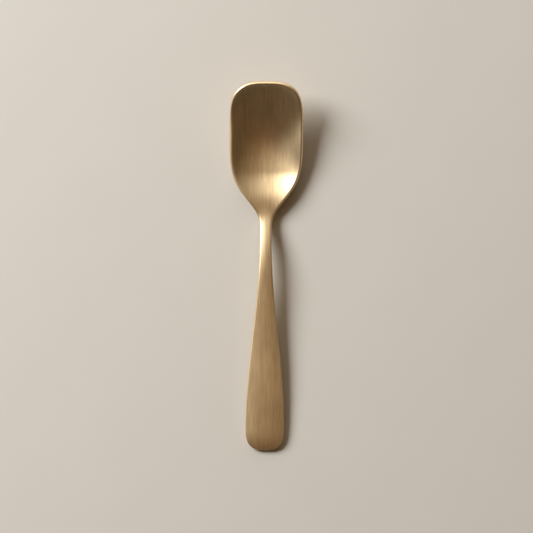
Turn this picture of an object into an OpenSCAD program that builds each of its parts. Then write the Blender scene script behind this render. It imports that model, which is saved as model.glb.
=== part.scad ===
// Ice cream spoon, pressed from one piece of steel, lying on a table as it was put down.
// The tip of the bowl points along +Y, the tail of the handle along -Y, and the table is Z = 0.
// Distances along the spoon are measured from the tip. Heights are those of the middle of the sheet.

/* [Overall] */
// Length from the tip of the bowl to the tail of the handle
length = 140; // [116:1:180]
// Height of the tip's edge above the table
tip_height = 14.4; // [13:0.1:17]

/* [Bowl outline] */
// Widest width of the bowl
bowl_width = 27.9; // [22:0.1:36]
// Length of the bowl, from the tip to where its shoulders have become the neck
bowl_length = 58.9; // [49:0.1:72]
// Length of the rounded tip, from the very tip to the full width
tip_length = 15.2; // [11:0.1:19]
// Squareness of the tip: 2 is an ellipse, more is squarer
tip_squareness = 3.1; // [2.4:0.1:4]
// Fullness of the bowl: more keeps the width for longer
bowl_fullness = 5.3; // [4:0.1:8]
// Sweep of the shoulders: more draws them in earlier
shoulder_sweep = 6.2; // [5:0.1:10]

/* [Handle outline] */
// Width of the neck
neck_width = 4.5; // [3.6:0.1:6]
// Length over which the neck keeps its width
neck_length = 2.1; // [0:0.1:10]
// Widest width of the handle, where the tail begins to round off
tail_width = 14.6; // [10:0.1:20]
// Length of the rounded tail
tail_length = 9; // [6:0.1:12]
// Squareness of the tail: 2 is an ellipse, more is squarer
tail_squareness = 2.5; // [2:0.1:3.5]

/* [Sheet] */
// Thickness of the bowl
bowl_thickness = 1.7; // [1:0.1:2.2]
// Thickness of the neck
neck_thickness = 2.2; // [1.8:0.1:2.8]
// Thickness of the handle at the tail, on its middle line
tail_thickness = 1.6; // [1.4:0.1:2.2]
// Height of the neck's crowned top over its edges
neck_crown = 0.09; // [0:0.01:0.2]
// Height of the handle's crowned top over its edges, where the handle is widest
tail_crown = 0.6; // [0.3:0.05:0.9]
// Squareness of the bowl's ground edge: 2 is round, more leaves a flatter land
rim_squareness = 3; // [2:0.1:5]
// Squareness of the handle's edge
handle_squareness = 3.2; // [2:0.1:5]

/* [Lip and ramp, along the middle line] */
// Slope of the turned up lip at the tip, in degrees
tip_angle = 40; // [25:1:60]
// Distance from the tip to the foot of the lip
lip_length = 6; // [4:0.1:7]
// Height at the foot of the lip
lip_foot_height = 10.3; // [8.5:0.1:11]
// Distance from the tip to the lower end of the ramp
ramp_end = 22; // [20:0.1:24]
// Height at the lower end of the ramp
ramp_end_height = 2.1; // [1.9:0.1:3.5]
// Distance from the lower end of the ramp to where the floor has become level
floor_run = 12.1; // [9:0.1:14]
// Steepness of the bowl's hollow across its width: 2 is a parabola, more has a flatter floor
hollow_power = 2.3; // [1.6:0.1:2.8]

/* [Shelf and neck, distances back from the end of the shoulders] */
// Place where the bowl rests on the table
rest_back = 24.7; // [22:0.1:26]
// Front of the shelf behind the hollow
shelf_front_back = 14.9; // [13:0.1:16]
// Height at the front of the shelf
shelf_front_height = 2.5; // [2:0.05:3.5]
// Rear of the shelf, where the neck starts to climb
shelf_rear_back = 7.6; // [6:0.1:10]
// Height at the rear of the shelf
shelf_rear_height = 2.45; // [2:0.05:3.5]
// Middle of the climbing neck
neck_middle_back = 0.6; // [0:0.1:3]
// Height at the middle of the climbing neck
neck_middle_height = 4; // [3:0.1:5]

/* [Arch and handle, distances behind the end of the shoulders or ahead of the tail] */
// Distance from the end of the shoulders back to the top of the arch
arch_behind = 13.6; // [10:0.1:17]
// Height at the top of the arch
arch_height = 5.5; // [4.5:0.1:8]
// Distance from the end of the shoulders back to the start of the straight handle
straight_behind = 25.1; // [20:0.1:30]
// Height at the start of the straight handle
straight_height = 4.8; // [4:0.1:7]
// Distance from the tail forward to the end of the straight handle
tail_bend_ahead = 9; // [7:0.1:16]
// Height at the end of the straight handle
tail_bend_height = 2.2; // [1.6:0.05:3]
// Slope of the drooping tail at its end, in degrees
tail_angle = 20; // [8:1:26]

/* [Rim of the bowl] */
// Distance from the tip to the corner of the rim, where its fall begins
rim_corner = 10; // [8:0.1:12]
// Height of the rim at the corner
rim_corner_height = 9.4; // [8:0.1:13]
// Distance back from the end of the shoulders to the middle of the rim's fall
rim_side_back = 34.9; // [30:0.1:36]
// Height of the rim at the middle of its fall
rim_side_height = 5.7; // [4.5:0.1:9]
// Distance back from the end of the shoulders to the lower part of the rim's fall
rim_low_back = 22.9; // [20:0.1:26]
// Height of the rim at the lower part of its fall
rim_low_height = 3.3; // [2.6:0.1:5]
// Distance back from the end of the shoulders to the foot of the rim's fall
rim_foot_back = 12.9; // [11:0.1:16]
// Height of the rim at the foot of its fall
rim_foot_height = 2.9; // [2.2:0.05:4]
// Distance back from the end of the shoulders to where the rim has become the neck's edge
rim_end_back = 8; // [5:0.1:10]

/* [Hidden] */
champagne_gold = [0.69, 0.53, 0.33];

// Steps along half the outline, steps from the middle line out to the edge, steps over the edge
outline_steps = 112;
spread_steps = 8;
edge_steps = 6;
// How far the middle line stops short of the tip and of the tail, where the faces fan out,
// and the length over which each fan fades
fan_at_tip = 9;
fan_at_tail = 4;
fan_fade = 24;
// Small distance for measuring slopes
nudge = 0.01;

// Easing from 0 to 1 with level ends, and with level and straight ends
function share(t) = min(max(t, 0), 1);
function ease(t) = let (u = share(t)) u * u * (3 - 2 * u);
function gentle(t) = let (u = share(t)) u ^ 3 * (u * (6 * u - 15) + 10);
function unit(vector) = vector / norm(vector);

// Farthest reach, along one axis, of a superellipse edge of the given thickness turned by an angle
function reach(thickness, angle, square) =
    let (q = square / (square - 1))
    thickness / 2 * (cos(angle) ^ q + abs(sin(angle)) ^ q) ^ (1 / q);

// Smooth curve through knots [distance, height] with a given slope at each end:
// every piece is a cubic, and slope and bend run on through the knots
function pivots(left, right, turn, i = 0, c = 0, r = 0) =
    i == len(turn) ? [] :
    let (pivot = 2 * (left[i] + right[i]) - left[i] * c,
         next_c = right[i] / pivot,
         next_r = (turn[i] - left[i] * r) / pivot)
    concat([[next_c, next_r]], pivots(left, right, turn, i + 1, next_c, next_r));
function solved(rows, i = 0) =
    i == len(rows) ? [] :
    let (rest = solved(rows, i + 1),
         after = len(rest) > 0 ? rest[0] : 0)
    concat([rows[i][1] - rows[i][0] * after], rest);
function curve(knots, first_slope, last_slope) =
    let (last = len(knots) - 1,
         gap = [for (i = [0:last - 1]) knots[i + 1].x - knots[i].x],
         slope = [for (i = [0:last - 1]) (knots[i + 1].y - knots[i].y) / gap[i]],
         left = [for (i = [0:last]) i == 0 ? 0 : gap[i - 1]],
         right = [for (i = [0:last]) i == last ? 0 : gap[i]],
         turn = [for (i = [0:last])
             6 * ((i == last ? last_slope : slope[i]) - (i == 0 ? first_slope : slope[i - 1]))])
    [knots, solved(pivots(left, right, turn))];
function height(line, d) =
    let (knots = line[0],
         bend = line[1],
         i = len([for (k = [1:1:len(knots) - 2]) if (knots[k].x < d) k]),
         h = knots[i + 1].x - knots[i].x,
         u = (knots[i + 1].x - d) / h,
         v = (d - knots[i].x) / h)
    u * knots[i].y + v * knots[i + 1].y + ((u ^ 3 - u) * bend[i] + (v ^ 3 - v) * bend[i + 1]) * h * h / 6;

// Ends of the middle surface, which stop short of the overall length by the edge's reach
tip_reach = reach(bowl_thickness, tip_angle, rim_squareness);
tail_reach = reach(tail_thickness, tail_angle, handle_squareness);
first = tip_reach;
last = length - tail_reach;
rest_at = bowl_length - rest_back;
level_at = min(ramp_end + floor_run, rest_at);
flare_start = bowl_length + neck_length;
tail_start = length - tail_length;

// Middle line of the sheet, seen from the side
front_line = curve(
    [[first, tip_height - tip_reach], [lip_length, lip_foot_height],
     [ramp_end, ramp_end_height], [level_at, bowl_thickness / 2]],
    -tan(tip_angle), 0);
straight_start = [bowl_length + straight_behind, straight_height];
straight_end = [length - tail_bend_ahead, tail_bend_height];
back_line = curve(
    [[rest_at, bowl_thickness / 2],
     [bowl_length - shelf_front_back, shelf_front_height],
     [bowl_length - shelf_rear_back, shelf_rear_height],
     [bowl_length - neck_middle_back, neck_middle_height],
     [bowl_length + arch_behind, arch_height],
     straight_start, (straight_start + straight_end) / 2, straight_end,
     [last, tail_reach]],
    0, -tan(tail_angle));
function axis(d) =
    d < level_at ? height(front_line, d)
    : d < rest_at ? bowl_thickness / 2
    : height(back_line, d);

// Shares by which the bowl has become the neck, and the neck the full width of the handle
function neck_share(d) = gentle((d - rest_at) / (flare_start - rest_at));
function flare_share(d) = ease((d - flare_start) / (tail_start - flare_start));

// Thickness on the middle line, and how much thinner the crowned handle is at its edge
function thickness(d) =
    bowl_thickness
    + (neck_thickness - bowl_thickness) * neck_share(d)
    + (tail_thickness - neck_thickness) * flare_share(d);
function tail_round(d) =
    (1 - share((d - tail_start) / (last - tail_start)) ^ tail_squareness) ^ (1 / tail_squareness);
function crown(d) =
    (neck_crown * neck_share(d) + (tail_crown - neck_crown) * flare_share(d)) * tail_round(d) ^ 2;
function edge_thickness(d) = thickness(d) - crown(d);
function edge_squareness(d) = rim_squareness + (handle_squareness - rim_squareness) * neck_share(d);

// Rim of the bowl, seen from the side, which runs out into the edge of the neck
function handle_edge(d) = axis(d) - crown(d) / 2;
rim_end = bowl_length - rim_end_back;
rim_line = curve(
    [[first, tip_height - tip_reach], [rim_corner, rim_corner_height],
     [bowl_length - rim_side_back, rim_side_height],
     [bowl_length - rim_low_back, rim_low_height],
     [bowl_length - rim_foot_back, rim_foot_height],
     [rim_end, handle_edge(rim_end)]],
    0, (handle_edge(rim_end + nudge) - handle_edge(rim_end - nudge)) / (2 * nudge));
function rim(d) = d < rim_end ? height(rim_line, d) : handle_edge(d);

// Half widths of the middle surface: the overall widths less what the edge adds outside
side_lean = atan(2 * hollow_power * (rim(tip_length) - axis(tip_length)) / bowl_width);
bowl_half = bowl_width / 2 - reach(bowl_thickness, side_lean, rim_squareness);
neck_half = (neck_width - edge_thickness(bowl_length)) / 2;
tail_half = (tail_width - edge_thickness(tail_start)) / 2;
function tip_outline(d) =
    bowl_half * (1 - ((tip_length - d) / (tip_length - first)) ^ tip_squareness) ^ (1 / tip_squareness);
function shoulder_outline(d) =
    let (s = (d - tip_length) / (bowl_length - tip_length))
    neck_half + (bowl_half - neck_half) * (1 - s ^ bowl_fullness) ^ shoulder_sweep;
function handle_outline(d) = neck_half + (tail_half - neck_half) * flare_share(d);
function half(d) =
    d <= first ? 0
    : d < tip_length ? tip_outline(d)
    : d < bowl_length ? shoulder_outline(d)
    : handle_outline(d) * tail_round(d);

// Middle surface at a share v of the half width, 0 on the middle line and 1 at the rim.
// At the tip the hollow is as square as the outline, which keeps the lip smooth.
function hollow(d) =
    tip_squareness + (hollow_power - tip_squareness) * gentle((d - first) / (tip_length - first));
function middle(v, d) = axis(d) + (rim(d) - axis(d)) * v ^ hollow(d);

// Upward normal of the middle surface there
function normal(v, d) =
    let (low = max(d - nudge, first),
         high = min(d + nudge, last),
         w = half(d),
         across = w > nudge ? (rim(d) - axis(d)) * hollow(d) * v ^ (hollow(d) - 1) / w : 0,
         lengthwise = w > nudge
             ? (middle(v, high) - middle(v, low) - across * v * (half(high) - half(low))) / (high - low)
             : (axis(high) - axis(low)) / (high - low))
    unit([-across, lengthwise, 1]);

function place(x, d, z) = [x, length / 2 - d, z];
function local_thickness(v, d) = edge_thickness(d) + crown(d) * (1 - v ^ 2);

// Outline of the right half, from tip to tail, with more points where it turns
outline = [for (i = [0:outline_steps])
    first + (last - first) * (1 - cos(180 * i / outline_steps)) / 2];
function spine(d) =
    d + fan_at_tip * (1 - ease((d - first) / fan_fade)) - fan_at_tail * ease(1 - (last - d) / fan_fade);

// Half a ring on the upper face (side 1) or the under face (side -1), at a share of the way out
function face_ring(out, side) = [for (edge = outline)
    let (x = out * half(edge),
         d = spine(edge) + out * (edge - spine(edge)),
         v = out == 1 ? 1 : share(x / max(half(d), nudge)))
    place(x, d, middle(v, d)) + side * local_thickness(v, d) / 2 * normal(v, d)];

// Half a ring round the edge, at a turn from 90 degrees on the upper face to -90 on the under face
edge_middle = [for (d = outline) place(half(d), d, middle(1, d))];
edge_normal = [for (d = outline) normal(1, d)];
edge_out = [for (i = [0:outline_steps])
    let (tangent = i == 0 ? [1, 0, 0]
             : i == outline_steps ? [-1, 0, 0]
             : edge_middle[i + 1] - edge_middle[i - 1])
    unit(cross(edge_normal[i], tangent))];
function edge_ring(turn) = [for (i = [0:outline_steps])
    let (d = outline[i],
         power = 2 / edge_squareness(d),
         outward = cos(turn) ^ power,
         upward = sign(turn) * abs(sin(turn)) ^ power)
    edge_middle[i] + edge_thickness(d) / 2 * (outward * edge_out[i] + upward * edge_normal[i])];

// Whole rings, the right half and its mirror image, from the middle of the upper face over the edge
// to the middle of the under face
function whole(ring) = concat(ring, [for (i = [outline_steps - 1:-1:1]) [-ring[i].x, ring[i].y, ring[i].z]]);
spread = concat([for (j = [0:spread_steps - 1]) (j + 0.5) / spread_steps], [1]);
rings = concat(
    [for (j = [0:spread_steps]) whole(face_ring(spread[j], 1))],
    [for (k = [1:edge_steps - 1]) whole(edge_ring(90 - 180 * k / edge_steps))],
    [for (j = [spread_steps:-1:0]) whole(face_ring(spread[j], -1))]);
ring_count = len(rings);
ring_size = 2 * outline_steps;

// Faces between neighbouring rings, and the seams that close the innermost rings on the middle line
function split(a, b, c, d) = [[a, c, b], [a, d, c]];
wall = [for (r = [0:ring_count - 2], i = [0:ring_size - 1])
    let (next = (i + 1) % ring_size)
    each split(r * ring_size + i, r * ring_size + next, (r + 1) * ring_size + next, (r + 1) * ring_size + i)];
function seam(r) = [for (i = [0:outline_steps - 1])
    let (right = r * ring_size + i,
         left = r * ring_size + (ring_size - i) % ring_size,
         next_left = r * ring_size + ring_size - i - 1)
    each concat(
        i == 0 ? [] : [[right, left, next_left]],
        i == outline_steps - 1 ? [] : [[right, next_left, right + 1]])];
function flipped(faces) = [for (face = faces) [face[2], face[1], face[0]]];

module spoon() {
    color(champagne_gold)
        polyhedron(
            points = [for (ring = rings) each ring],
            faces = concat(wall, flipped(seam(0)), seam(ring_count - 1)),
            convexity = 6);
}

spoon();
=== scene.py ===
"""Ice cream spoon in brushed, gold-tinted steel, lying on a pale table in soft studio light.

The smooth spoon is drawn from the solid part's sizes, in the same frame, and stands for it.
Sizes of the spoon are in millimetres until its mesh is made. Everything else is in metres.
"""

from __future__ import annotations

import logging
import math
from collections.abc import Sequence
from dataclasses import dataclass, field
from enum import Enum
from functools import cached_property

import bpy
import numpy as np
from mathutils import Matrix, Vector

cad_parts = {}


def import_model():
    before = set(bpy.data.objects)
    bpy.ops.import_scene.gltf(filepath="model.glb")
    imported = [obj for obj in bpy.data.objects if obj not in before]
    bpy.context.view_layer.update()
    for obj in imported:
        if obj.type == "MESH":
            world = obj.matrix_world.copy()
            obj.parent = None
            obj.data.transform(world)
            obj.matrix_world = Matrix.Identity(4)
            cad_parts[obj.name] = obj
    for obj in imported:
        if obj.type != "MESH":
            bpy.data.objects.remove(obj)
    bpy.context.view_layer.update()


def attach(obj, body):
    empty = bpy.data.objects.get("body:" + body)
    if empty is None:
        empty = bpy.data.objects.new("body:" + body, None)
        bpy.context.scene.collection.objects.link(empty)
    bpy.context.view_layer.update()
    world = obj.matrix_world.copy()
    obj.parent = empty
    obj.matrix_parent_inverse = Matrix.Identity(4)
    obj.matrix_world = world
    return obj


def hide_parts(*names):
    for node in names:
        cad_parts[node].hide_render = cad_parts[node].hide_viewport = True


LOG = logging.getLogger("spoon")
MM = 0.001
BRUSH_UV = "brush"
EDGE_ATTRIBUTE = "edge"

Array = np.ndarray
Colour = tuple[float, float, float]
Direction = tuple[float, float, float]
Knot = tuple[float, float]


def ease(t: Array) -> Array:
    """Ease from 0 to 1 with level ends.

    Args:
        t: Share of the way, cut off at 0 and 1.

    Returns:
        The eased share.
    """
    u = np.clip(t, 0.0, 1.0)
    return u * u * (3.0 - 2.0 * u)


def gentle(t: Array) -> Array:
    """Ease from 0 to 1 with level and straight ends.

    Args:
        t: Share of the way, cut off at 0 and 1.

    Returns:
        The eased share.
    """
    u = np.clip(t, 0.0, 1.0)
    return u**3 * (u * (6.0 * u - 15.0) + 10.0)


def reach(thickness: float, angle: float, square: float) -> float:
    """Farthest reach, along one axis, of a superellipse edge turned by an angle.

    Args:
        thickness: Thickness of the sheet at the edge.
        angle: Turn of the sheet from that axis, in degrees.
        square: Squareness of the edge, 2 for a round one.

    Returns:
        The reach from the middle of the edge.
    """
    q = square / (square - 1.0)
    turn = math.radians(angle)
    return thickness / 2.0 * (math.cos(turn) ** q + abs(math.sin(turn)) ** q) ** (1.0 / q)


def rise(angle: float) -> float:
    """Slope of an angle.

    Args:
        angle: Angle in degrees.

    Returns:
        Rise over run.
    """
    return math.tan(math.radians(angle))


class Curve:
    """Curve through knots, smooth in slope and bend, with a given slope at both ends."""

    def __init__(self, knots: Sequence[Knot], first_slope: float, last_slope: float) -> None:
        """Solve for the bend at every knot.

        Args:
            knots: Pairs of distance and height, in order of distance.
            first_slope: Slope at the first knot.
            last_slope: Slope at the last knot.
        """
        self.at, self.level = np.array(knots, float).T
        gap = np.diff(self.at)
        slope = np.diff(self.level) / gap
        left = np.concatenate([[0.0], gap])
        right = np.concatenate([gap, [0.0]])
        system = np.diag(2.0 * (left + right))
        system += np.diag(gap, 1) + np.diag(gap, -1)
        before = np.concatenate([[first_slope], slope])
        after = np.concatenate([slope, [last_slope]])
        self.bend = np.linalg.solve(system, 6.0 * (after - before))

    def height(self, d: Array) -> Array:
        """Height of the curve.

        Args:
            d: Distances.

        Returns:
            The height at each distance.
        """
        i = np.clip(np.searchsorted(self.at, d) - 1, 0, len(self.at) - 2)
        gap = self.at[i + 1] - self.at[i]
        u = (self.at[i + 1] - d) / gap
        v = (d - self.at[i]) / gap
        bow = (u**3 - u) * self.bend[i] + (v**3 - v) * self.bend[i + 1]
        return u * self.level[i] + v * self.level[i + 1] + bow * gap**2 / 6.0


@dataclass(frozen=True)
class SpoonSizes:
    """Sizes of the spoon in millimetres, with distances from the tip of the bowl.

    They are the solid part's sizes, but the tail's corners are a little squarer here.
    """

    length: float = 140.0
    tip_height: float = 14.4
    bowl_width: float = 27.9
    bowl_length: float = 58.9
    tip_length: float = 15.2
    tip_squareness: float = 3.1
    bowl_fullness: float = 5.3
    shoulder_sweep: float = 6.2
    neck_width: float = 4.5
    neck_length: float = 2.1
    tail_width: float = 14.6
    tail_length: float = 9.0
    tail_squareness: float = 3.1
    bowl_thickness: float = 1.7
    neck_thickness: float = 2.2
    tail_thickness: float = 1.6
    neck_crown: float = 0.09
    tail_crown: float = 0.6
    rim_squareness: float = 3.0
    handle_squareness: float = 3.2
    tip_angle: float = 40.0
    lip_length: float = 6.0
    lip_foot_height: float = 10.3
    ramp_end: float = 22.0
    ramp_end_height: float = 2.1
    floor_run: float = 12.1
    hollow_power: float = 2.3
    rest_back: float = 24.7
    shelf_front_back: float = 14.9
    shelf_front_height: float = 2.5
    shelf_rear_back: float = 7.6
    shelf_rear_height: float = 2.45
    neck_middle_back: float = 0.6
    neck_middle_height: float = 4.0
    arch_behind: float = 13.6
    arch_height: float = 5.5
    straight_behind: float = 25.1
    straight_height: float = 4.8
    tail_bend_ahead: float = 9.0
    tail_bend_height: float = 2.2
    tail_angle: float = 20.0
    rim_corner: float = 10.0
    rim_corner_height: float = 9.4
    rim_side_back: float = 34.9
    rim_side_height: float = 5.7
    rim_low_back: float = 22.9
    rim_low_height: float = 3.3
    rim_foot_back: float = 12.9
    rim_foot_height: float = 2.9
    rim_end_back: float = 8.0


@dataclass(frozen=True)
class SpoonForm:
    """Middle surface, thickness and edge of the spoon, from its sizes."""

    sizes: SpoonSizes
    nudge: float = 0.001

    @cached_property
    def tip_reach(self) -> float:
        """Reach of the edge beyond the middle surface at the tip."""
        s = self.sizes
        return reach(s.bowl_thickness, s.tip_angle, s.rim_squareness)

    @cached_property
    def tail_reach(self) -> float:
        """Reach of the edge beyond the middle surface at the tail."""
        s = self.sizes
        return reach(s.tail_thickness, s.tail_angle, s.handle_squareness)

    @property
    def first(self) -> float:
        """Distance at which the middle surface starts."""
        return self.tip_reach

    @property
    def last(self) -> float:
        """Distance at which the middle surface ends."""
        return self.sizes.length - self.tail_reach

    @property
    def rest_at(self) -> float:
        """Distance of the deepest place, where the bowl rests on the table."""
        return self.sizes.bowl_length - self.sizes.rest_back

    @property
    def level_at(self) -> float:
        """Distance at which the floor of the bowl has become level."""
        return min(self.sizes.ramp_end + self.sizes.floor_run, self.rest_at)

    @property
    def flare_start(self) -> float:
        """Distance at which the neck starts to widen into the handle."""
        return self.sizes.bowl_length + self.sizes.neck_length

    @property
    def tail_start(self) -> float:
        """Distance at which the tail starts to round off."""
        return self.sizes.length - self.sizes.tail_length

    @cached_property
    def front_line(self) -> Curve:
        """Middle line from the tip down to the deepest place."""
        s = self.sizes
        knots = [
            (self.first, s.tip_height - self.tip_reach),
            (s.lip_length, s.lip_foot_height),
            (s.ramp_end, s.ramp_end_height),
            (self.level_at, s.bowl_thickness / 2.0),
        ]
        return Curve(knots, -rise(s.tip_angle), 0.0)

    @cached_property
    def back_line(self) -> Curve:
        """Middle line from the deepest place over the shelf and the arch to the tail."""
        s = self.sizes
        start = (s.bowl_length + s.straight_behind, s.straight_height)
        end = (s.length - s.tail_bend_ahead, s.tail_bend_height)
        halfway = ((start[0] + end[0]) / 2.0, (start[1] + end[1]) / 2.0)
        knots = [
            (self.rest_at, s.bowl_thickness / 2.0),
            (s.bowl_length - s.shelf_front_back, s.shelf_front_height),
            (s.bowl_length - s.shelf_rear_back, s.shelf_rear_height),
            (s.bowl_length - s.neck_middle_back, s.neck_middle_height),
            (s.bowl_length + s.arch_behind, s.arch_height),
            start,
            halfway,
            end,
            (self.last, self.tail_reach),
        ]
        return Curve(knots, 0.0, -rise(s.tail_angle))

    def axis(self, d: Array) -> Array:
        """Height of the middle line.

        Args:
            d: Distances from the tip.

        Returns:
            Heights of the middle of the sheet.
        """
        front = self.front_line.height(np.minimum(d, self.level_at))
        back = self.back_line.height(np.maximum(d, self.rest_at))
        return np.where(d < self.level_at, front, back)

    def neck_share(self, d: Array) -> Array:
        """Share by which the bowl has become the neck.

        Args:
            d: Distances from the tip.

        Returns:
            0 in the bowl, 1 from the neck on.
        """
        return gentle((d - self.rest_at) / (self.flare_start - self.rest_at))

    def flare_share(self, d: Array) -> Array:
        """Share by which the neck has become the full handle.

        Args:
            d: Distances from the tip.

        Returns:
            0 at the neck, 1 where the tail starts.
        """
        return ease((d - self.flare_start) / (self.tail_start - self.flare_start))

    def thickness(self, d: Array) -> Array:
        """Thickness on the middle line.

        Args:
            d: Distances from the tip.

        Returns:
            Thickness of the sheet.
        """
        s = self.sizes
        to_neck = (s.neck_thickness - s.bowl_thickness) * self.neck_share(d)
        to_tail = (s.tail_thickness - s.neck_thickness) * self.flare_share(d)
        return s.bowl_thickness + to_neck + to_tail

    def tail_round(self, d: Array) -> Array:
        """Share of the handle's width that the rounded tail keeps.

        Args:
            d: Distances from the tip.

        Returns:
            1 up to the tail, 0 at its end.
        """
        power = self.sizes.tail_squareness
        to_end = np.clip((d - self.tail_start) / (self.last - self.tail_start), 0.0, 1.0)
        return (1.0 - to_end**power) ** (1.0 / power)

    def crown(self, d: Array) -> Array:
        """How much thinner the crowned handle is at its edge than in the middle.

        Args:
            d: Distances from the tip.

        Returns:
            The difference in thickness.
        """
        s = self.sizes
        rise_out = s.neck_crown * self.neck_share(d) + (s.tail_crown - s.neck_crown) * self.flare_share(d)
        return rise_out * self.tail_round(d) ** s.tail_squareness

    def edge_squareness(self, d: Array) -> Array:
        """Squareness of the edge.

        Args:
            d: Distances from the tip.

        Returns:
            Squareness, from the bowl's rim to the handle's squarer edge.
        """
        s = self.sizes
        return s.rim_squareness + (s.handle_squareness - s.rim_squareness) * self.neck_share(d)

    @cached_property
    def half_widths(self) -> tuple[float, float, float]:
        """Half widths of the middle surface at the bowl, the neck and the tail."""
        s = self.sizes
        widest = np.array(s.tip_length)
        depth = float(self.rim(widest) - self.axis(widest))
        lean = math.degrees(math.atan(2.0 * s.hollow_power * depth / s.bowl_width))
        bowl = s.bowl_width / 2.0 - reach(s.bowl_thickness, lean, s.rim_squareness)
        at_neck, at_tail = self.sheet(np.ones(2), np.array([s.bowl_length, self.tail_start]))
        return bowl, (s.neck_width - float(at_neck)) / 2.0, (s.tail_width - float(at_tail)) / 2.0

    def half(self, d: Array) -> Array:
        """Half width of the middle surface.

        Args:
            d: Distances from the tip.

        Returns:
            Half widths, 0 at both ends.
        """
        s = self.sizes
        bowl, neck, tail = self.half_widths
        to_tip = np.clip((s.tip_length - d) / (s.tip_length - self.first), 0.0, 1.0)
        tip = bowl * (1.0 - to_tip**s.tip_squareness) ** (1.0 / s.tip_squareness)
        to_neck = np.clip((d - s.tip_length) / (s.bowl_length - s.tip_length), 0.0, 1.0)
        shoulder = neck + (bowl - neck) * (1.0 - to_neck**s.bowl_fullness) ** s.shoulder_sweep
        handle = (neck + (tail - neck) * self.flare_share(d)) * self.tail_round(d)
        return np.select([d < s.tip_length, d < s.bowl_length], [tip, shoulder], handle)

    def handle_edge(self, d: Array) -> Array:
        """Height of the middle surface along the edge of the handle.

        Args:
            d: Distances from the tip.

        Returns:
            Heights.
        """
        return self.axis(d) - self.crown(d) / 2.0

    @property
    def rim_end(self) -> float:
        """Distance at which the rim has become the edge of the neck."""
        return self.sizes.bowl_length - self.sizes.rim_end_back

    @cached_property
    def rim_line(self) -> Curve:
        """Rim of the bowl, seen from the side."""
        s = self.sizes
        around = self.handle_edge(self.rim_end + np.array([-self.nudge, 0.0, self.nudge]))
        knots = [
            (self.first, s.tip_height - self.tip_reach),
            (s.rim_corner, s.rim_corner_height),
            (s.bowl_length - s.rim_side_back, s.rim_side_height),
            (s.bowl_length - s.rim_low_back, s.rim_low_height),
            (s.bowl_length - s.rim_foot_back, s.rim_foot_height),
            (self.rim_end, float(around[1])),
        ]
        return Curve(knots, 0.0, float(around[2] - around[0]) / (2.0 * self.nudge))

    def rim(self, d: Array) -> Array:
        """Height of the middle surface along the whole edge.

        Args:
            d: Distances from the tip.

        Returns:
            Heights.
        """
        bowl = self.rim_line.height(np.minimum(d, self.rim_end))
        return np.where(d < self.rim_end, bowl, self.handle_edge(d))

    def hollow(self, d: Array) -> Array:
        """Power of the hollow across the width: as square as the outline at the tip, rounder behind it.

        Args:
            d: Distances from the tip.

        Returns:
            Powers.
        """
        s = self.sizes
        share = gentle((d - self.first) / (s.tip_length - self.first))
        return s.tip_squareness + (s.hollow_power - s.tip_squareness) * share

    def middle(self, v: Array, d: Array) -> Array:
        """Height of the middle surface.

        Args:
            v: Shares of the half width, 0 on the middle line and 1 at the edge.
            d: Distances from the tip.

        Returns:
            Heights.
        """
        axis = self.axis(d)
        return axis + (self.rim(d) - axis) * v ** self.hollow(d)

    def normal(self, v: Array, d: Array) -> Array:
        """Upward normal of the middle surface.

        Args:
            v: Shares of the half width.
            d: Distances from the tip.

        Returns:
            Unit vectors, one row each.
        """
        low = np.maximum(d - self.nudge, self.first)
        high = np.minimum(d + self.nudge, self.last)
        width = self.half(d)
        wide = width > self.nudge
        power = self.hollow(d)
        climb = (self.rim(d) - self.axis(d)) * power * v ** (power - 1.0)
        across = np.where(wide, climb / np.maximum(width, self.nudge), 0.0)
        turn = across * v * (self.half(high) - self.half(low))
        surface = self.middle(v, high) - self.middle(v, low) - turn
        line = self.axis(high) - self.axis(low)
        lengthwise = np.where(wide, surface, line) / (high - low)
        vectors = np.stack([-across, lengthwise, np.ones_like(across)], axis=1)
        return vectors / np.linalg.norm(vectors, axis=1, keepdims=True)

    def place(self, x: Array, d: Array, z: Array) -> Array:
        """Points in the frame of the part.

        Args:
            x: Distances to the right.
            d: Distances from the tip.
            z: Heights.

        Returns:
            Points, one row each, in millimetres.
        """
        return np.stack([x, self.sizes.length / 2.0 - d, z], axis=1)

    def sheet(self, v: Array, d: Array) -> Array:
        """Thickness of the sheet anywhere on the surface.

        Args:
            v: Shares of the half width.
            d: Distances from the tip.

        Returns:
            Thicknesses.
        """
        return self.thickness(d) - self.crown(d) * v**2


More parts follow.
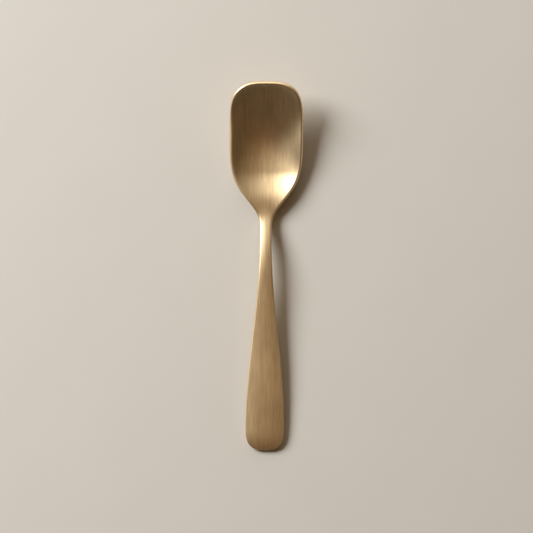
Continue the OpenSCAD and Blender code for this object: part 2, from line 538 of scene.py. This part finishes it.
@dataclass
class SpoonShell:
    """Closed mesh of the spoon: rings from the top's middle line over the edge to the underside's."""

    form: SpoonForm
    outline_steps: int = 320
    spread_steps: int = 30
    edge_steps: int = 16
    fan_at_tip: float = 9.0
    fan_at_tail: float = 4.0
    fan_fade: float = 24.0
    polish_width: float = 0.2
    handle_polish: float = 0.4
    polish_start: float = 0.5
    trace_steps: int = 8000
    outline: Array = field(init=False)

    def __post_init__(self) -> None:
        """Spread the points of the outline evenly along its length."""
        form = self.form
        share = (1.0 - np.cos(np.linspace(0.0, np.pi, self.trace_steps + 1))) / 2.0
        d = form.first + (form.last - form.first) * share
        run = np.hypot(np.diff(form.half(d)), np.diff(d))
        along = np.concatenate([[0.0], np.cumsum(run)])
        self.outline = np.interp(np.linspace(0.0, along[-1], self.outline_steps + 1), along, d)

    @property
    def edge_turns(self) -> Array:
        """Turns of the rings round the edge, from the upper face to the under face."""
        return np.linspace(np.pi / 2.0, -np.pi / 2.0, self.edge_steps + 1)[1:-1]

    def spine(self) -> Array:
        """Place on the middle line that each point of the outline is joined to.

        Returns:
            Distances from the tip.
        """
        d = self.outline
        at_tip = self.fan_at_tip * (1.0 - ease((d - self.form.first) / self.fan_fade))
        at_tail = self.fan_at_tail * ease(1.0 - (self.form.last - d) / self.fan_fade)
        return d + at_tip - at_tail

    def face_ring(self, out: float, side: float) -> Array:
        """Half a ring on one face.

        Args:
            out: Share of the way from the middle line to the edge.
            side: 1 for the upper face, -1 for the under face.

        Returns:
            Points from tip to tail.
        """
        form = self.form
        spine = self.spine()
        x = out * form.half(self.outline)
        d = spine + out * (self.outline - spine)
        v = np.ones_like(d) if out == 1.0 else np.clip(x / np.maximum(form.half(d), form.nudge), 0.0, 1.0)
        offset = side * form.sheet(v, d) / 2.0
        return form.place(x, d, form.middle(v, d)) + offset[:, None] * form.normal(v, d)

    def edge_rings(self) -> list[Array]:
        """Half rings round the edge, from the upper face to the under face.

        Returns:
            One array of points for each ring.
        """
        form = self.form
        d = self.outline
        ones = np.ones_like(d)
        middle = form.place(form.half(d), d, form.middle(ones, d))
        normal = form.normal(ones, d)
        tangent = np.gradient(middle, axis=0)
        tangent[0] = (1.0, 0.0, 0.0)
        tangent[-1] = (-1.0, 0.0, 0.0)
        outward = np.cross(normal, tangent)
        outward /= np.linalg.norm(outward, axis=1, keepdims=True)
        half_sheet = form.sheet(ones, d)[:, None] / 2.0
        power = (2.0 / form.edge_squareness(d))[:, None]
        rings = []
        for turn in self.edge_turns:
            out = np.cos(turn) ** power
            up = np.sign(turn) * np.abs(np.sin(turn)) ** power
            rings.append(middle + half_sheet * (out * outward + up * normal))
        return rings

    def rings(self) -> tuple[Array, Array]:
        """All whole rings and how much of the edge's polish each point has.

        Returns:
            Points as ring, point and axis, and the polish as ring and point.
        """
        spread = np.concatenate([(np.arange(self.spread_steps) + 0.5) / self.spread_steps, [1.0]])
        half = self.form.half(self.outline)
        upper = [self.face_ring(out, 1.0) for out in spread]
        under = [self.face_ring(out, -1.0) for out in spread[::-1]]
        most = 1.0 - (1.0 - self.handle_polish) * self.form.neck_share(self.outline)
        start = self.polish_start
        fade = [start * most * np.exp(-(1.0 - out) * half / self.polish_width) for out in spread]
        bright = [most * (start + (1.0 - start) * math.cos(turn)) for turn in self.edge_turns]
        right = np.array(upper + self.edge_rings() + under)
        polish = np.array(fade + bright + fade[::-1])
        left = right[:, -2:0:-1] * (-1.0, 1.0, 1.0)
        return np.concatenate([right, left], axis=1), np.concatenate([polish, polish[:, -2:0:-1]], axis=1)

    def faces(self, ring_count: int) -> list[tuple[int, ...]]:
        """Faces between the rings, and the two seams on the middle line.

        Args:
            ring_count: Number of whole rings.

        Returns:
            Point numbers of each face, seen from outside.
        """
        size = 2 * self.outline_steps
        faces: list[tuple[int, ...]] = []
        for ring in range(ring_count - 1):
            low, high = ring * size, (ring + 1) * size
            for i in range(size):
                step = (i + 1) % size
                faces.append((low + step, high + step, high + i, low + i))
        for base, order in ((0, -1), ((ring_count - 1) * size, 1)):
            for i in range(self.outline_steps):
                loop = [i, i + 1, size - i - 1, (size - i) % size]
                seam = [base + point for point in dict.fromkeys(loop)]
                faces.append(tuple(seam[::order]))
        return faces

    def build(self, name: str) -> bpy.types.Object:
        """Make the mesh object, with its brush direction and edge polish.

        Args:
            name: Name of the object.

        Returns:
            The object, in the frame of the part.
        """
        rings, polish = self.rings()
        points = rings.reshape(-1, 3)
        mesh = bpy.data.meshes.new(name)
        mesh.from_pydata((points * MM).tolist(), [], self.faces(len(rings)))
        mesh.validate()
        mesh.polygons.foreach_set("use_smooth", np.ones(len(mesh.polygons), bool))
        edge = mesh.attributes.new(EDGE_ATTRIBUTE, "FLOAT", "POINT")
        edge.data.foreach_set("value", polish.ravel().astype(np.float32))
        corners = np.zeros(len(mesh.loops), np.int32)
        mesh.loops.foreach_get("vertex_index", corners)
        length = self.form.sizes.length
        flat = points[corners][:, [1, 0]] / length + 0.5
        mesh.uv_layers.new(name=BRUSH_UV).data.foreach_set("uv", flat.astype(np.float32).ravel())
        mesh.update()
        piece = bpy.data.objects.new(name, mesh)
        bpy.context.collection.objects.link(piece)
        return piece


class Effect(Enum):
    """Shader effects that are made once and shared."""

    GRAIN = "brush_grain"
    DRIFT = "slow_drift"
    WEAR = "edge_wear"


class NodeTree:
    """Small helper for filling a node tree. Sockets of a colour mix have no names of their own."""

    COLOUR_A, COLOUR_B, COLOUR_RESULT = 6, 7, 2

    def __init__(self, tree: bpy.types.NodeTree) -> None:
        """Hold the tree.

        Args:
            tree: Tree to fill.
        """
        self.tree = tree

    def add(self, kind: str, label: str, **settings: object) -> bpy.types.Node:
        """Add a node.

        Args:
            kind: Type of the node.
            label: Name of the node.
            settings: Properties to set on it.

        Returns:
            The node.
        """
        node = self.tree.nodes.new(kind)
        node.name = node.label = label
        for key, value in settings.items():
            setattr(node, key, value)
        return node

    def link(self, source: bpy.types.NodeSocket, target: bpy.types.NodeSocket) -> None:
        """Join two sockets.

        Args:
            source: Output socket.
            target: Input socket.
        """
        self.tree.links.new(source, target)

    def feed(self, target: bpy.types.NodeSocket, value: object) -> None:
        """Join a socket to an input, or set the input's own value.

        Args:
            target: Input socket.
            value: Output socket, number or colour.
        """
        if isinstance(value, bpy.types.NodeSocket):
            self.link(value, target)
        elif target.type == "RGBA":
            target.default_value = (*value, 1.0)
        else:
            target.default_value = value

    def math(self, label: str, operation: str, a: object, b: object = 0.0) -> bpy.types.NodeSocket:
        """Add a math node.

        Args:
            label: Name of the node.
            operation: What it works out.
            a: First socket or number.
            b: Second socket or number.

        Returns:
            The result's socket.
        """
        node = self.add("ShaderNodeMath", label, operation=operation)
        self.feed(node.inputs[0], a)
        self.feed(node.inputs[1], b)
        return node.outputs[0]

    def weigh(
        self, label: str, a: bpy.types.NodeSocket, b: bpy.types.NodeSocket, share: float
    ) -> bpy.types.NodeSocket:
        """Weigh two values against each other.

        Args:
            label: Name of the nodes.
            a: Socket of the first value.
            b: Socket of the second value.
            share: Share of the first value.

        Returns:
            The result's socket.
        """
        first = self.math(f"{label} first", "MULTIPLY", a, share)
        second = self.math(f"{label} second", "MULTIPLY", b, 1.0 - share)
        return self.math(label, "ADD", first, second)

    def span(
        self, label: str, value: bpy.types.NodeSocket, low: float, high: float
    ) -> bpy.types.NodeSocket:
        """Spread a value from 0 to 1 over a range.

        Args:
            label: Name of the node.
            value: Socket of the value.
            low: Result at 0.
            high: Result at 1.

        Returns:
            The result's socket.
        """
        node = self.add("ShaderNodeMapRange", label)
        node.inputs["To Min"].default_value = low
        node.inputs["To Max"].default_value = high
        self.link(value, node.inputs["Value"])
        return node.outputs["Result"]

    def step(
        self, label: str, value: bpy.types.NodeSocket, start: float, end: float
    ) -> bpy.types.NodeSocket:
        """Rise smoothly from 0 to 1.

        Args:
            label: Name of the node.
            value: Socket of the value.
            start: Value that gives 0.
            end: Value that gives 1.

        Returns:
            The result's socket.
        """
        node = self.add("ShaderNodeMapRange", label, interpolation_type="SMOOTHSTEP")
        node.inputs["From Min"].default_value = start
        node.inputs["From Max"].default_value = end
        self.link(value, node.inputs["Value"])
        return node.outputs["Result"]

    def blend(self, label: str, share: bpy.types.NodeSocket, a: object, b: object) -> bpy.types.NodeSocket:
        """Blend two colours.

        Args:
            label: Name of the node.
            share: Socket of the share of the second colour.
            a: Socket or colour.
            b: Socket or colour.

        Returns:
            The colour's socket.
        """
        node = self.add("ShaderNodeMix", label, data_type="RGBA")
        self.link(share, node.inputs["Factor"])
        self.feed(node.inputs[self.COLOUR_A], a)
        self.feed(node.inputs[self.COLOUR_B], b)
        return node.outputs[self.COLOUR_RESULT]

    def bump(
        self, label: str, height: bpy.types.NodeSocket, strength: float, depth: float
    ) -> bpy.types.NodeSocket:
        """Add a bump.

        Args:
            label: Name of the node.
            height: Socket of the height.
            strength: Strength from 0 to 1.
            depth: Depth in metres.

        Returns:
            The normal's socket.
        """
        node = self.add("ShaderNodeBump", label)
        node.inputs["Strength"].default_value = strength
        node.inputs["Distance"].default_value = depth
        self.link(height, node.inputs["Height"])
        return node.outputs["Normal"]


@dataclass(frozen=True)
class Noise:
    """Noise that an effect is made of."""

    dimensions: str
    detail: float
    roughness: float

    def add(
        self, nodes: NodeTree, label: str, place: bpy.types.NodeSocket, scale: object
    ) -> bpy.types.NodeSocket:
        """Add the noise.

        Args:
            nodes: Tree to fill.
            label: Name of the node.
            place: Socket of the place.
            scale: Socket or number.

        Returns:
            The value's socket.
        """
        node = nodes.add("ShaderNodeTexNoise", label, noise_dimensions=self.dimensions)
        nodes.link(place, node.inputs["Vector"])
        nodes.feed(node.inputs["Scale"], scale)
        node.inputs["Detail"].default_value = self.detail
        node.inputs["Roughness"].default_value = self.roughness
        return node.outputs["Fac"]


@dataclass
class Effects:
    """Node groups of the shared effects, each made at its first use."""

    hair: Noise = Noise("2D", 3.0, 0.6)
    cloud: Noise = Noise("3D", 4.0, 0.55)
    fine_run: float = 22.0
    broad_run: float = 7.0
    wear_break: float = 0.25
    wear_start: float = 0.25
    wear_full: float = 0.85
    made: dict[Effect, bpy.types.NodeTree] = field(default_factory=dict)

    def use(self, effect: Effect, nodes: NodeTree, **inputs: object) -> bpy.types.Node:
        """Put an effect into a material.

        Args:
            effect: Effect to use.
            nodes: Tree of the material.
            inputs: Sockets or numbers for the group's inputs.

        Returns:
            The group node.
        """
        if effect not in self.made:
            makers = {Effect.GRAIN: self.grain, Effect.DRIFT: self.drift, Effect.WEAR: self.wear}
            self.made[effect] = makers[effect]()
        node = nodes.add("ShaderNodeGroup", effect.value)
        node.node_tree = self.made[effect]
        for name, value in inputs.items():
            nodes.feed(node.inputs[name], value)
        return node

    @staticmethod
    def start(
        effect: Effect, inputs: dict[str, str], outputs: Sequence[str]
    ) -> tuple[NodeTree, bpy.types.Node, bpy.types.Node]:
        """Start a group with its sockets.

        Args:
            effect: Effect that the group makes.
            inputs: Socket type of each input.
            outputs: Names of the value outputs.

        Returns:
            The tree, its input node and its output node.
        """
        tree = bpy.data.node_groups.new(effect.value, "ShaderNodeTree")
        for name, kind in inputs.items():
            tree.interface.new_socket(name, in_out="INPUT", socket_type=kind)
        for name in outputs:
            tree.interface.new_socket(name, in_out="OUTPUT", socket_type="NodeSocketFloat")
        nodes = NodeTree(tree)
        return nodes, nodes.add("NodeGroupInput", "in"), nodes.add("NodeGroupOutput", "out")

    def grain(self) -> bpy.types.NodeTree:
        """Make the brush grain: fine hairlines and broader streaks along U.

        Returns:
            The group, with a fine and a broad value from 0 to 1.
        """
        kinds = {"Vector": "NodeSocketVector", "Lines": "NodeSocketFloat", "Streaks": "NodeSocketFloat"}
        nodes, source, target = self.start(Effect.GRAIN, kinds, ("Fine", "Broad"))
        for name, count, run in (("Fine", "Lines", self.fine_run), ("Broad", "Streaks", self.broad_run)):
            stretch = nodes.add("ShaderNodeCombineXYZ", f"{name} stretch")
            stretch.inputs["X"].default_value = run
            nodes.link(source.outputs[count], stretch.inputs["Y"])
            scaled = nodes.add("ShaderNodeVectorMath", f"{name} place", operation="MULTIPLY")
            nodes.link(source.outputs["Vector"], scaled.inputs[0])
            nodes.link(stretch.outputs[0], scaled.inputs[1])
            value = self.hair.add(nodes, f"{name} noise", scaled.outputs[0], 1.0)
            nodes.link(value, target.inputs[name])
        return nodes.tree

    def drift(self) -> bpy.types.NodeTree:
        """Make a slow drift over the surface.

        Returns:
            The group, with one value from 0 to 1.
        """
        kinds = {"Vector": "NodeSocketVector", "Scale": "NodeSocketFloat"}
        nodes, source, target = self.start(Effect.DRIFT, kinds, ("Value",))
        value = self.cloud.add(nodes, "clouds", source.outputs["Vector"], source.outputs["Scale"])
        nodes.link(value, target.inputs["Value"])
        return nodes.tree

    def wear(self) -> bpy.types.NodeTree:
        """Make the mask of the polished edge, broken up a little.

        Returns:
            The group, with a mask from 0 to 1.
        """
        kinds = {"Edge": "NodeSocketFloat", "Break": "NodeSocketFloat"}
        nodes, source, target = self.start(Effect.WEAR, kinds, ("Mask",))
        shift = nodes.span("shift", source.outputs["Break"], -self.wear_break, self.wear_break)
        moved = nodes.math("moved", "ADD", source.outputs["Edge"], shift)
        mask = nodes.step("ramp", moved, self.wear_start, self.wear_full)
        nodes.link(mask, target.inputs["Mask"])
        return nodes.tree


def new_material(name: str) -> tuple[bpy.types.Material, NodeTree, bpy.types.Node]:
    """Start a material.

    Args:
        name: Name of the material.

    Returns:
        The material, its tree and its surface shader.
    """
    material = bpy.data.materials.new(name)
    material.use_nodes = True
    return material, NodeTree(material.node_tree), material.node_tree.nodes["Principled BSDF"]


@dataclass(frozen=True)
class BrushedGold:
    """Gold-tinted steel, brushed lengthwise, with a polished edge."""

    name: str = "brushed_gold"
    deep: Colour = (0.638, 0.488, 0.290)
    pale: Colour = (0.823, 0.630, 0.374)
    worn: Colour = (0.87, 0.69, 0.45)
    roughness: float = 0.47
    roughness_swing: float = 0.08
    edge_roughness: float = 0.43
    anisotropy: float = 0.24
    brush_turn: float = 0.25
    lines: float = 420.0
    streaks: float = 150.0
    cloud_scale: float = 45.0
    speck_scale: float = 420.0
    fine_share: float = 0.5
    hair_share: float = 0.6
    tone_low: float = -1.6
    tone_high: float = 2.6
    bump: float = 0.6
    bump_depth: float = 0.00005

    def build(self, effects: Effects) -> bpy.types.Material:
        """Make the material.

        Args:
            effects: Shared effects.

        Returns:
            The material.
        """
        material, nodes, surface = new_material(self.name)
        brush = nodes.add("ShaderNodeUVMap", "brush direction", uv_map=BRUSH_UV).outputs["UV"]
        place = nodes.add("ShaderNodeTexCoord", "place").outputs["Object"]
        edge = nodes.add("ShaderNodeAttribute", "edge", attribute_name=EDGE_ATTRIBUTE).outputs["Fac"]
        grain = effects.use(Effect.GRAIN, nodes, Vector=brush, Lines=self.lines, Streaks=self.streaks)
        cloud = effects.use(Effect.DRIFT, nodes, Vector=place, Scale=self.cloud_scale).outputs["Value"]
        speck = effects.use(Effect.DRIFT, nodes, Vector=place, Scale=self.speck_scale).outputs["Value"]
        mask = effects.use(Effect.WEAR, nodes, Edge=edge, Break=speck).outputs["Mask"]
        hair = nodes.weigh("hair", grain.outputs["Fine"], grain.outputs["Broad"], self.fine_share)
        tone = nodes.weigh("tone", hair, cloud, self.hair_share)
        contrast = nodes.span("contrast", tone, self.tone_low, self.tone_high)
        body = nodes.blend("body", contrast, self.deep, self.pale)
        nodes.link(nodes.blend("colour", mask, body, self.worn), surface.inputs["Base Color"])
        low, high = self.roughness - self.roughness_swing, self.roughness + self.roughness_swing
        matt = nodes.span("matt", tone, low, high)
        gloss = nodes.add("ShaderNodeMix", "gloss")
        nodes.link(mask, gloss.inputs["Factor"])
        nodes.link(matt, gloss.inputs["A"])
        gloss.inputs["B"].default_value = self.edge_roughness
        nodes.link(gloss.outputs["Result"], surface.inputs["Roughness"])
        bump = nodes.bump("hairlines", hair, self.bump, self.bump_depth)
        nodes.link(bump, surface.inputs["Normal"])
        along = nodes.add("ShaderNodeTangent", "along the brush", direction_type="UV_MAP", uv_map=BRUSH_UV)
        nodes.link(along.outputs["Tangent"], surface.inputs["Tangent"])
        surface.inputs["Metallic"].default_value = 1.0
        surface.inputs["Anisotropic"].default_value = self.anisotropy
        surface.inputs["Anisotropic Rotation"].default_value = self.brush_turn
        return material


@dataclass(frozen=True)
class PaleTable:
    """Smooth, warm grey table top with a faint mottle."""

    name: str = "pale_table"
    deep: Colour = (0.532, 0.503, 0.455)
    pale: Colour = (0.552, 0.523, 0.475)
    roughness: float = 0.9
    roughness_swing: float = 0.05
    specular: float = 0.2
    cloud_scale: float = 38.0
    speck_scale: float = 900.0
    bump: float = 0.1
    bump_depth: float = 0.00005

    def build(self, effects: Effects) -> bpy.types.Material:
        """Make the material.

        Args:
            effects: Shared effects.

        Returns:
            The material.
        """
        material, nodes, surface = new_material(self.name)
        place = nodes.add("ShaderNodeTexCoord", "place").outputs["Object"]
        cloud = effects.use(Effect.DRIFT, nodes, Vector=place, Scale=self.cloud_scale).outputs["Value"]
        speck = effects.use(Effect.DRIFT, nodes, Vector=place, Scale=self.speck_scale).outputs["Value"]
        nodes.link(nodes.blend("colour", cloud, self.deep, self.pale), surface.inputs["Base Color"])
        low, high = self.roughness - self.roughness_swing, self.roughness + self.roughness_swing
        nodes.link(nodes.span("rough", speck, low, high), surface.inputs["Roughness"])
        nodes.link(nodes.bump("tooth", speck, self.bump, self.bump_depth), surface.inputs["Normal"])
        surface.inputs["Specular IOR Level"].default_value = self.specular
        return material


@dataclass
class IceCreamSpoon:
    """The spoon: one pressed piece that stands for the part's only node."""

    name: str = "brushed_spoon"
    node: str = "spoon"
    body: str = "root"
    slot: str = "brushed_gold"
    sizes: SpoonSizes = field(default_factory=SpoonSizes)
    finish: BrushedGold = field(default_factory=BrushedGold)

    def build(self, effects: Effects) -> bpy.types.Object:
        """Make the spoon and join it to the frame.

        Args:
            effects: Shared effects.

        Returns:
            The spoon.
        """
        piece = SpoonShell(SpoonForm(self.sizes)).build(self.name)
        piece.data.materials.append(self.finish.build(effects))
        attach(piece, self.body)
        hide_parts(self.node)
        return piece


@dataclass
class Table:
    """Table top under the spoon."""

    name: str = "table_top"
    size: float = 4.0
    finish: PaleTable = field(default_factory=PaleTable)

    def build(self, effects: Effects) -> bpy.types.Object:
        """Make the table top.

        Args:
            effects: Shared effects.

        Returns:
            The table top.
        """
        half = self.size / 2.0
        corners = [(-half, -half, 0.0), (half, -half, 0.0), (half, half, 0.0), (-half, half, 0.0)]
        mesh = bpy.data.meshes.new(self.name)
        mesh.from_pydata(corners, [], [(0, 1, 2, 3)])
        mesh.materials.append(self.finish.build(effects))
        top = bpy.data.objects.new(self.name, mesh)
        bpy.context.collection.objects.link(top)
        return top


@dataclass(frozen=True)
class KeyLight:
    """Large round soft light, high on the left and a little beyond the spoon."""

    name: str = "key"
    direction: Direction = (-1.35, 0.91, 1.0)
    distance: float = 1.6
    diameter: float = 0.85
    power: float = 46.5
    colour: Colour = (0.98, 0.99, 1.0)

    def build(self) -> bpy.types.Object:
        """Make the light, turned towards the spoon.

        Returns:
            The light.
        """
        data = bpy.data.lights.new(self.name, "AREA")
        data.shape = "DISK"
        data.size = self.diameter
        data.energy = self.power
        data.color = self.colour
        light = bpy.data.objects.new(self.name, data)
        light.location = Vector(self.direction).normalized() * self.distance
        light.rotation_euler = (-light.location).to_track_quat("-Z", "Y").to_euler()
        bpy.context.collection.objects.link(light)
        return light


@dataclass(frozen=True)
class Glow:
    """Soft glow in one direction of the room, brightest straight towards it."""

    direction: Direction
    focus: float
    level: float
    colour: Colour


@dataclass(frozen=True)
class Surround:
    """Dim, warm room with a few soft glows above a low, pale backdrop all round the table."""

    ceiling: Glow = Glow((0.0, 0.0, 1.0), 6.0, 0.26, (1.0, 0.52, 0.10))
    low_window: Glow = Glow((0.0, 0.99, 0.14), 10.0, 2.6, (1.0, 0.90, 0.76))
    high_window: Glow = Glow((0.0, 0.79, 0.62), 10.0, 0.52, (1.0, 0.95, 0.90))
    right_wall: Glow = Glow((0.79, 0.0, 0.62), 10.0, 0.13, (1.0, 0.80, 0.50))
    rear_wall: Glow = Glow((0.0, -0.64, 0.77), 14.0, 0.16, (1.0, 0.50, 0.20))
    backdrop: Colour = (0.60, 0.55, 0.47)
    backdrop_top: float = 0.05
    backdrop_fade: float = 0.02

    def build(self) -> bpy.types.World:
        """Make the surround.

        Returns:
            The world.
        """
        world = bpy.data.worlds.new("room")
        bpy.context.scene.world = world
        world.use_nodes = True
        nodes = NodeTree(world.node_tree)
        background = world.node_tree.nodes["Background"]
        looking = nodes.add("ShaderNodeTexCoord", "looking").outputs["Generated"]
        glows = (self.ceiling, self.low_window, self.high_window, self.right_wall, self.rear_wall)
        light = self.glow(nodes, looking, glows[0])
        for extra in glows[1:]:
            total = nodes.add("ShaderNodeVectorMath", "total", operation="ADD")
            nodes.link(light, total.inputs[0])
            nodes.link(self.glow(nodes, looking, extra), total.inputs[1])
            light = total.outputs[0]
        level = nodes.add("ShaderNodeSeparateXYZ", "level")
        nodes.link(looking, level.inputs[0])
        aside = nodes.math("above or below", "ABSOLUTE", level.outputs["Z"])
        wall = nodes.step("wall", aside, self.backdrop_top, self.backdrop_top - self.backdrop_fade)
        nodes.link(nodes.blend("shown", wall, light, self.backdrop), background.inputs["Color"])
        return world

    @staticmethod
    def glow(nodes: NodeTree, looking: bpy.types.NodeSocket, glow: Glow) -> bpy.types.NodeSocket:
        """Add one glow.

        Args:
            nodes: Tree of the world.
            looking: Socket of the direction.
            glow: Glow to add.

        Returns:
            Socket of its colour.
        """
        facing = nodes.add("ShaderNodeVectorMath", "facing", operation="DOT_PRODUCT")
        facing.inputs[1].default_value = Vector(glow.direction).normalized()
        nodes.link(looking, facing.inputs[0])
        towards = nodes.math("towards", "MAXIMUM", facing.outputs["Value"], 0.0)
        share = nodes.math("share", "POWER", towards, glow.focus)
        tint = nodes.add("ShaderNodeVectorMath", "tint", operation="SCALE")
        tint.inputs[0].default_value = Vector(glow.colour) * glow.level
        nodes.link(share, tint.inputs["Scale"])
        return tint.outputs[0]


@dataclass(frozen=True)
class TopCamera:
    """Long lens straight above the spoon, turned a little against it."""

    height: float = 6.0
    view_width: float = 0.2024
    sensor: float = 36.0
    aside: float = 0.00034
    along: float = -0.0003
    turn: float = 0.3

    def build(self) -> bpy.types.Object:
        """Make the camera and make it the scene's own.

        Returns:
            The camera.
        """
        data = bpy.data.cameras.new("camera")
        data.sensor_width = self.sensor
        data.lens = self.sensor * self.height / self.view_width
        camera = bpy.data.objects.new("camera", data)
        camera.location = (self.aside, self.along, self.height)
        camera.rotation_euler = (0.0, 0.0, math.radians(self.turn))
        bpy.context.collection.objects.link(camera)
        bpy.context.scene.camera = camera
        return camera


def main() -> None:
    """Build the spoon, its table, the light and the camera."""
    logging.basicConfig(level=logging.INFO, format="%(name)s: %(message)s")
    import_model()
    effects = Effects()
    for maker in (IceCreamSpoon(), Table()):
        piece = maker.build(effects)
        LOG.info("%s has %d faces", piece.name, len(piece.data.polygons))
    for maker in (KeyLight(), Surround(), TopCamera()):
        LOG.info("%s is in place", maker.build().name)
    bpy.context.scene.view_settings.view_transform = "Standard"


if __name__ == "__main__":
    main()
